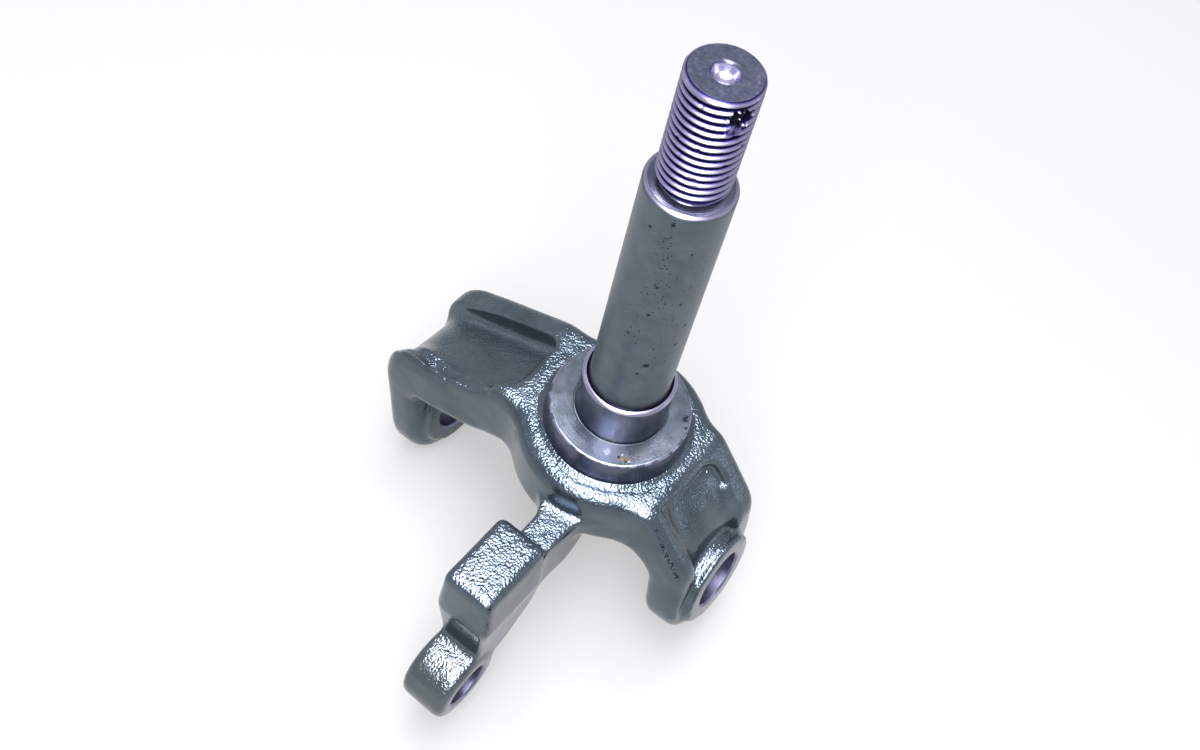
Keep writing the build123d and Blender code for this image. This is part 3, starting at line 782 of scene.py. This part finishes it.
turnedFinish = {
    "journalDark": "#4d575c",
    "journalLight": "#5d656b",
    "seatDark": "#4b5061",
    "seatLight": "#606475",
    "endLight": "#7c828c",      # flecks of the end face
    "paintedHighlightColour": "#8f8ea4",    # painted highlight on the rolled edges and the cup of the centre hole
    "pit": "#1b1d25",
    "cloudSize": 7,             # mm
    "mottleSize": 1.6,          # mm
    "speckSize": 1.1,           # mm between fine pits
    "ringSize": 0.5,            # mm between tool rings
    "ringDepth": 0.06,          # mm
    "roughness": (0.20, 0.28),
    "journalDull": 0.18,        # how much rougher the journal is
    "metallic": 0.95,
    "journalFrom": (20.4, 21.2),  # heights in mm between which one colour gives way to the next
    "journalTo": (127.0, 127.4),
    "endFrom": (168, 169),
    "faceBand": 0.4,            # mm above and below the seat's face
    "markEdge": 0.12,           # mm, how softly a mark ends
    # worn places on the seat, with two white dots that are painted glints: place and radius in mm, how
    # ragged, colour, and how dull
    "marks": [
        ((7.0, -19.5, 0.0), 3.9, 2.4, "#5c6265", 0.10),
        ((12.8, -17.8, 0.0), 3.9, 3.0, "#52585b", 0.10),
        ((17.6, -11.0, 0.0), 3.6, 3.2, "#4e5558", 0.08),
        ((9.0, -20.0, 0.0), 1.2, 3.0, "#767982", 0.0),
        # a painted glint
        ((14.0, -17.0, 0.0), 0.3, 1.2, "#c8c8d0", 0.0),
        ((15.6, -18.0, 0.0), 0.4, 1.4, "#6d5214", 0.0),
        ((14.8, -18.7, 0.0), 0.4, 1.4, "#7e6a22", 0.0),
        ((16.6, -16.6, 0.0), 0.3, 1.2, "#6d5214", 0.0),
        ((13.2, -18.9, 0.0), 0.5, 1.0, "#1d190c", 0.0),
        ((16.4, -18.6, 0.0), 0.4, 0.8, "#1d190c", 0.0),
        # a painted glint
        ((17.4, -17.6, 0.0), 0.4, 0.8, "#d8d8e0", 0.0),
        ((18.6, -13.4, 0.0), 0.4, 0.7, "#20232b", 0.0),
        ((21.8, 11.9, 0.0), 1.3, 3.6, "#262b36", 0.0),
        ((24.4, 8.4, 0.0), 0.6, 2.4, "#262b36", 0.0),
        ((-24.3, -13.6, -1.5), 1.2, 2.0, "#15171d", 0.0),
        ((-14.6, -24.2, -1.8), 1.1, 2.0, "#15171d", 0.0),
    ],
    "largeMark": (2.0, 0.75),   # from this radius on, a mark covers only this share
}


def turnedSteel():
    # turned and ground steel: the journal dull and faintly green, the seats brighter and purplish,
    # with tool rings 0.2 mm apart drawn at 0.5 mm, rolled edges painted brighter as a highlight, and dark
    # rust pits
    look = turnedFinish
    material, tree, shader = newMaterial("turnedSteel")
    place = addNode(tree, "ShaderNodeTexCoord").outputs["Object"]
    flat = addNode(tree, "ShaderNodeMapping", {"Vector": place, "Scale": (1.0, 1.0, 0.0)})
    distance = addNode(tree, "ShaderNodeVectorMath", {0: flat.outputs["Vector"]}, operation="LENGTH")
    height = addNode(tree, "ShaderNodeSeparateXYZ", {"Vector": place}).outputs["Z"]
    ringPlace = addNode(tree, "ShaderNodeCombineXYZ", {
        "X": distance.outputs["Value"], "Y": height})
    rings = addNode(tree, "ShaderNodeTexNoise", {
        "Vector": ringPlace.outputs["Vector"], "Scale": 1 / (look["ringSize"] * mm), "Detail": 2.0})
    cloud = addNode(tree, "ShaderNodeTexNoise", {
        "Vector": place, "Scale": 1 / (look["cloudSize"] * mm), "Detail": 5.0, "Roughness": 0.65})
    mottle = addNode(tree, "ShaderNodeTexNoise", {
        "Vector": place, "Scale": 1 / (look["mottleSize"] * mm), "Detail": 4.0, "Roughness": 0.7})
    journal = addNode(tree, "ShaderNodeValToRGB", {"Fac": cloud.outputs["Fac"]}, stops=[
        (0.32, look["journalDark"]), (0.68, look["journalLight"])])
    seats = addNode(tree, "ShaderNodeValToRGB", {"Fac": cloud.outputs["Fac"]}, stops=[
        (0.32, look["seatDark"]), (0.68, look["seatLight"])])
    # the journal's colour runs from the inner seat to the shoulder, and lies on the seat's face too
    (low, seatTop), (journalTop, high) = look["journalFrom"], look["journalTo"]
    fromSeat = addNode(tree, "ShaderNodeMapRange", {
        "Value": height, "From Min": low * mm, "From Max": seatTop * mm})
    toShoulder = addNode(tree, "ShaderNodeMapRange", {
        "Value": height, "From Min": journalTop * mm, "From Max": high * mm,
        "To Min": 1.0, "To Max": 0.0})
    onJournal = addNode(tree, "ShaderNodeMath", {
        0: fromSeat.outputs["Result"], 1: toShoulder.outputs["Result"]}, operation="MULTIPLY")
    onFace = addNode(tree, "ShaderNodeMath", {
        0: height, 1: 0.0, 2: look["faceBand"] * mm}, operation="COMPARE")
    dull = addNode(tree, "ShaderNodeMath", {
        0: onJournal.outputs["Value"], 1: onFace.outputs["Value"]}, operation="MAXIMUM")
    base = addNode(tree, "ShaderNodeMix", {
        0: dull.outputs["Value"], 6: seats.outputs["Color"], 7: journal.outputs["Color"]},
        data_type="RGBA")
    endTone = addNode(tree, "ShaderNodeValToRGB", {"Fac": mottle.outputs["Fac"]}, stops=[
        (0.35, look["seatDark"]), (0.60, look["seatLight"]), (0.72, look["endLight"])])
    endLow, endHigh = look["endFrom"]
    onEnd = addNode(tree, "ShaderNodeMapRange", {
        "Value": height, "From Min": endLow * mm, "From Max": endHigh * mm})
    colour = addNode(tree, "ShaderNodeMix", {
        0: onEnd.outputs["Result"], 6: base.outputs[2], 7: endTone.outputs["Color"]}, data_type="RGBA")
    smoothest, roughest = look["roughness"]
    gloss = addNode(tree, "ShaderNodeMapRange", {
        "Value": cloud.outputs["Fac"], "From Min": 0.3, "From Max": 0.7,
        "To Min": smoothest, "To Max": roughest})
    matte = addNode(tree, "ShaderNodeMath", {
        0: onJournal.outputs["Value"], 1: look["journalDull"], 2: gloss.outputs["Result"]},
        operation="MULTIPLY_ADD")
    largeFrom, largeShare = look["largeMark"]
    for middle, radius, ragged, tint, dullness in look["marks"]:
        gap = addNode(tree, "ShaderNodeVectorMath", {
            0: place, 1: Vector(middle) * mm}, operation="DISTANCE")
        edge = addNode(tree, "ShaderNodeMath", {
            0: mottle.outputs["Fac"], 1: ragged * 2 * mm, 2: gap.outputs["Value"]},
            operation="MULTIPLY_ADD")
        inside = addNode(tree, "ShaderNodeMapRange", {
            "Value": edge.outputs["Value"],
            "From Min": (radius + ragged + look["markEdge"]) * mm,
            "From Max": (radius + ragged - look["markEdge"]) * mm,
            "To Max": largeShare if radius > largeFrom else 1.0})
        colour = addNode(tree, "ShaderNodeMix", {
            0: inside.outputs["Result"], 6: colour.outputs[2], 7: toLinear(tint)}, data_type="RGBA")
        matte = addNode(tree, "ShaderNodeMath", {
            0: inside.outputs["Result"], 1: dullness, 2: matte.outputs["Value"]},
            operation="MULTIPLY_ADD")
    # a brighter colour on the rolled edges, the shoulder, patches of the seat's rim and the centre hole's
    # cup: a painted highlight
    edges = addNode(tree, "ShaderNodeAttribute", attribute_name="paintedHighlight")
    colour = addNode(tree, "ShaderNodeMix", {
        0: edges.outputs["Fac"], 6: colour.outputs[2], 7: toLinear(look["paintedHighlightColour"])},
        data_type="RGBA")
    cells = addNode(tree, "ShaderNodeTexVoronoi", {
        "Vector": place, "Scale": 1 / (look["speckSize"] * mm)})
    chance = addNode(tree, "ShaderNodeSeparateColor", {"Color": cells.outputs["Color"]})
    speckled = addNode(tree, "ShaderNodeAttribute", attribute_name="speckled")
    chosen = addNode(tree, "ShaderNodeMath", {
        0: speckled.outputs["Fac"], 1: chance.outputs["Red"]}, operation="GREATER_THAN")
    dot = addNode(tree, "ShaderNodeMapRange", {
        "Value": cells.outputs["Distance"], "From Min": 0.34, "From Max": 0.22})
    fleck = addNode(tree, "ShaderNodeMath", {
        0: chosen.outputs["Value"], 1: dot.outputs["Result"]}, operation="MULTIPLY")
    pitting = addNode(tree, "ShaderNodeAttribute", attribute_name="pitting")
    pits = addNode(tree, "ShaderNodeMath", {
        0: fleck.outputs["Value"], 1: pitting.outputs["Fac"]}, operation="MAXIMUM")
    colour = addNode(tree, "ShaderNodeMix", {
        0: pits.outputs["Value"], 6: colour.outputs[2], 7: toLinear(look["pit"])}, data_type="RGBA")
    bump = addNode(tree, "ShaderNodeBump", {
        "Height": rings.outputs["Fac"], "Strength": 0.6, "Distance": look["ringDepth"] * mm})
    feedNode(tree, shader, {
        "Base Color": colour.outputs[2], "Roughness": matte.outputs["Value"],
        "Normal": bump.outputs["Normal"], "Metallic": look["metallic"]})
    return material


threadFinish = {
    "flank": "#85849a",
    # the middle and root colours are painted shade, darkest in the thread's roots
    "middle": "#5d5590",
    "root": "#0d1038",
    "torn": "#050508",          # the near-black colour round the split pin's mouth
    "shadeRampFrom": 10.4,          # mm, radii between which the colour runs from the painted shade of the root to the flank
    "shadeRampTo": 12.0,
    "cloudSize": 2.5,           # mm
    "roughness": (0.32, 0.75),  # on the thread, and where it is torn
    "metallic": 0.95,
}


def threadedSteel():
    # cut thread in bright steel: flanks and crests that catch the light, roots painted dark blue as painted
    # shade
    look = threadFinish
    material, tree, shader = newMaterial("cutThreadSteel")
    place = addNode(tree, "ShaderNodeTexCoord").outputs["Object"]
    flat = addNode(tree, "ShaderNodeMapping", {"Vector": place, "Scale": (1.0, 1.0, 0.0)})
    distance = addNode(tree, "ShaderNodeVectorMath", {0: flat.outputs["Vector"]}, operation="LENGTH")
    depth = addNode(tree, "ShaderNodeMapRange", {
        "Value": distance.outputs["Value"],
        "From Min": look["shadeRampFrom"] * mm, "From Max": look["shadeRampTo"] * mm})
    # darker towards the root of the thread: painted shade
    tone = addNode(tree, "ShaderNodeValToRGB", {"Fac": depth.outputs["Result"]}, stops=[
        (0.42, look["root"]), (0.58, look["middle"]), (0.74, look["flank"])])
    torn = addNode(tree, "ShaderNodeAttribute", attribute_name="torn")
    dark = addNode(tree, "ShaderNodeMix", {
        0: torn.outputs["Fac"], 6: tone.outputs["Color"], 7: toLinear(look["torn"])}, data_type="RGBA")
    cloud = addNode(tree, "ShaderNodeTexNoise", {
        "Vector": place, "Scale": 1 / (look["cloudSize"] * mm), "Detail": 3.0})
    bump = addNode(tree, "ShaderNodeBump", {
        "Height": cloud.outputs["Fac"], "Strength": 0.2, "Distance": 0.1 * mm})
    bare, dirty = look["roughness"]
    dull = addNode(tree, "ShaderNodeMapRange", {
        "Value": torn.outputs["Fac"], "To Min": bare, "To Max": dirty})
    feedNode(tree, shader, {
        "Base Color": dark.outputs[2], "Roughness": dull.outputs["Result"],
        "Normal": bump.outputs["Normal"], "Metallic": look["metallic"]})
    return material


boreFinish = {
    "dark": "#63667a",
    "light": "#888a9e",
    "markSize": 0.6,            # mm between tool marks
    "cloudSize": 5,             # mm
    "roughness": 0.34,
    "metallic": 1.0,
}


def boredSteel():
    # bored steel, satin, lilac-grey, with tool marks round the bore 0.3 mm apart drawn at 0.6 mm
    look = boreFinish
    material, tree, shader = newMaterial("boredSteel")
    place = addNode(tree, "ShaderNodeTexCoord").outputs["Object"]
    stretched = addNode(tree, "ShaderNodeMapping", {"Vector": place, "Scale": (1.0, 0.05, 0.05)})
    marks = addNode(tree, "ShaderNodeTexNoise", {
        "Vector": stretched.outputs["Vector"], "Scale": 1 / (look["markSize"] * mm), "Detail": 2.0})
    cloud = addNode(tree, "ShaderNodeTexNoise", {
        "Vector": place, "Scale": 1 / (look["cloudSize"] * mm), "Detail": 4.0})
    tone = addNode(tree, "ShaderNodeValToRGB", {"Fac": cloud.outputs["Fac"]}, stops=[
        (0.3, look["dark"]), (0.7, look["light"])])
    bump = addNode(tree, "ShaderNodeBump", {
        "Height": marks.outputs["Fac"], "Strength": 0.3, "Distance": 0.1 * mm})
    feedNode(tree, shader, {
        "Base Color": tone.outputs["Color"], "Roughness": look["roughness"],
        "Normal": bump.outputs["Normal"], "Metallic": look["metallic"]})
    return material


for material in (forgedSteel(), boredSteel()):
    forgingBody.data.materials.append(material)
for material in (turnedSteel(), threadedSteel()):
    spindleBody.data.materials.append(material)

toKingpin, toEye = kingpinFrame.inverted(), eyeFrame.inverted()
boreReach = (forging["boreRadius"] + forging["boreMargin"]) * mm
eyeReach = (forging["eyeRadius"] + forging["eyeMargin"]) * mm
eyeHalf = (forging["eyeWidth"] / 2 + forging["eyeMargin"]) * mm
for face in forgingBody.data.polygons:
    inKingpin, inEye = toKingpin @ face.center, toEye @ face.center
    bored = math.hypot(inKingpin.x, inKingpin.y) < boreReach
    bored = bored or math.hypot(inEye.x, inEye.y) < eyeReach and abs(inEye.z) < eyeHalf
    face.material_index = 1 if bored else 0
# the thread's faces lie above the shoulder, below the end face and outside the centre hole
threadLow, threadHigh = (spindle["journalEnd"] + 0.75) * mm, (spindle["end"] - 0.02) * mm
threadCore = (spindle["reliefRadius"] - 0.15) * mm
for face in spindleBody.data.polygons:
    outer = math.hypot(face.center.x, face.center.y) > threadCore
    face.material_index = 1 if outer and threadLow < face.center.z < threadHigh else 0

for body, sharpAngle in ((forgingBody, 40), (spindleBody, 28)):  # degrees
    body.data.shade_smooth()
    body.data.set_sharp_from_angle(angle=math.radians(sharpAngle))
    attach(body, "root")
    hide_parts("steering_knuckle")
print("materials done")

view = {
    "place": (110.9, -264.4, 442.4),  # mm
    "along": (-0.2339, 0.5048, -0.8310),
    "up": (-0.5841, 0.6102, 0.5351),
    "lens": 42.39,
    "sensor": 36.0,
}

cameraData = bpy.data.cameras.new("camera")
cameraData.lens = view["lens"]
cameraData.sensor_width = view["sensor"]
cameraData.clip_start, cameraData.clip_end = 0.01, 20.0
camera = bpy.data.objects.new("camera", cameraData)
back = -Vector(view["along"]).normalized()
side = Vector(view["up"]).cross(back).normalized()
up = back.cross(side)
camera.matrix_world = Matrix((side, up, back)).transposed().to_4x4()
camera.location = Vector(view["place"]) * mm
scene.collection.objects.link(camera)
scene.camera = camera
scene.view_settings.view_transform = "Standard"

studio = {
    "floor": -108.6,            # mm, where the part stands
    "floorGap": 0.2,            # mm below it
    "floorSize": 6.0,           # m
    "floorColour": "#626560",   # grey paper lit from behind, which the strong light turns white
    "floorGlow": 0.36,
    "worldColour": "#e6ebf0",
    "worldStrength": 0.86,
    "aim": (-10, -30, 0),       # mm, what the softboxes look at
    "across": (0.907, 0.42, 0.0),  # the direction in which a softbox's first side lies
    # name, direction from the part, distance in m, sides in m, power in W, colour
    "softboxes": [
        ("overhead", (0.08, -0.215, 0.973), 1.45, (0.80, 2.14), 150.0, "#f2ebfb"),
        ("highFront", (0.19, -0.42, 0.89), 1.25, (1.5, 0.6), 4.5, "#f4f0ff"),
        ("frontFill", (0.33, -0.77, 0.54), 1.3, (0.8, 0.35), 4.0, "#ffffff"),
        ("leftFill", (-0.95, -0.25, 0.45), 1.5, (0.5, 0.5), 1.0, "#e8eeff"),
        ("rightRim", (0.85, 0.50, 0.20), 1.5, (0.5, 0.4), 1.5, "#f0f2ff"),
    ],
}

floorMesh = bmesh.new()
bmesh.ops.create_grid(floorMesh, x_segments=2, y_segments=2, size=studio["floorSize"])
floor = objectFromBmesh("floor", floorMesh)
floor.location.z = (studio["floor"] - studio["floorGap"]) * mm
# matt white paper with a faint light of its own, so it stays pale far from the softboxes
paper, paperTree, paperShader = newMaterial("palePaper")
feedNode(paperTree, paperShader, {
    "Base Color": toLinear(studio["floorColour"]), "Roughness": 0.9,
    "Emission Color": (1.0, 1.0, 1.0, 1.0), "Emission Strength": studio["floorGlow"]})
floor.data.materials.append(paper)

world = bpy.data.worlds.new("studio")
scene.world = world
world.use_nodes = True
sky = world.node_tree.nodes["Background"]
sky.inputs["Color"].default_value = toLinear(studio["worldColour"])
sky.inputs["Strength"].default_value = studio["worldStrength"]

aim = Vector(studio["aim"]) * mm
for name, direction, distance, sides, power, colour in studio["softboxes"]:
    lampData = bpy.data.lights.new(name, "AREA")
    lampData.shape = "RECTANGLE"
    lampData.size, lampData.size_y = sides
    lampData.energy = power
    lampData.color = toLinear(colour)[:3]
    lamp = bpy.data.objects.new(name, lampData)
    outward = Vector(direction).normalized()
    lampUp = outward.cross(Vector(studio["across"])).normalized()
    lamp.matrix_world = Matrix((lampUp.cross(outward), lampUp, outward)).transposed().to_4x4()
    lamp.location = aim + outward * distance
    scene.collection.objects.link(lamp)
print("studio set")

bpy.context.view_layer.update()
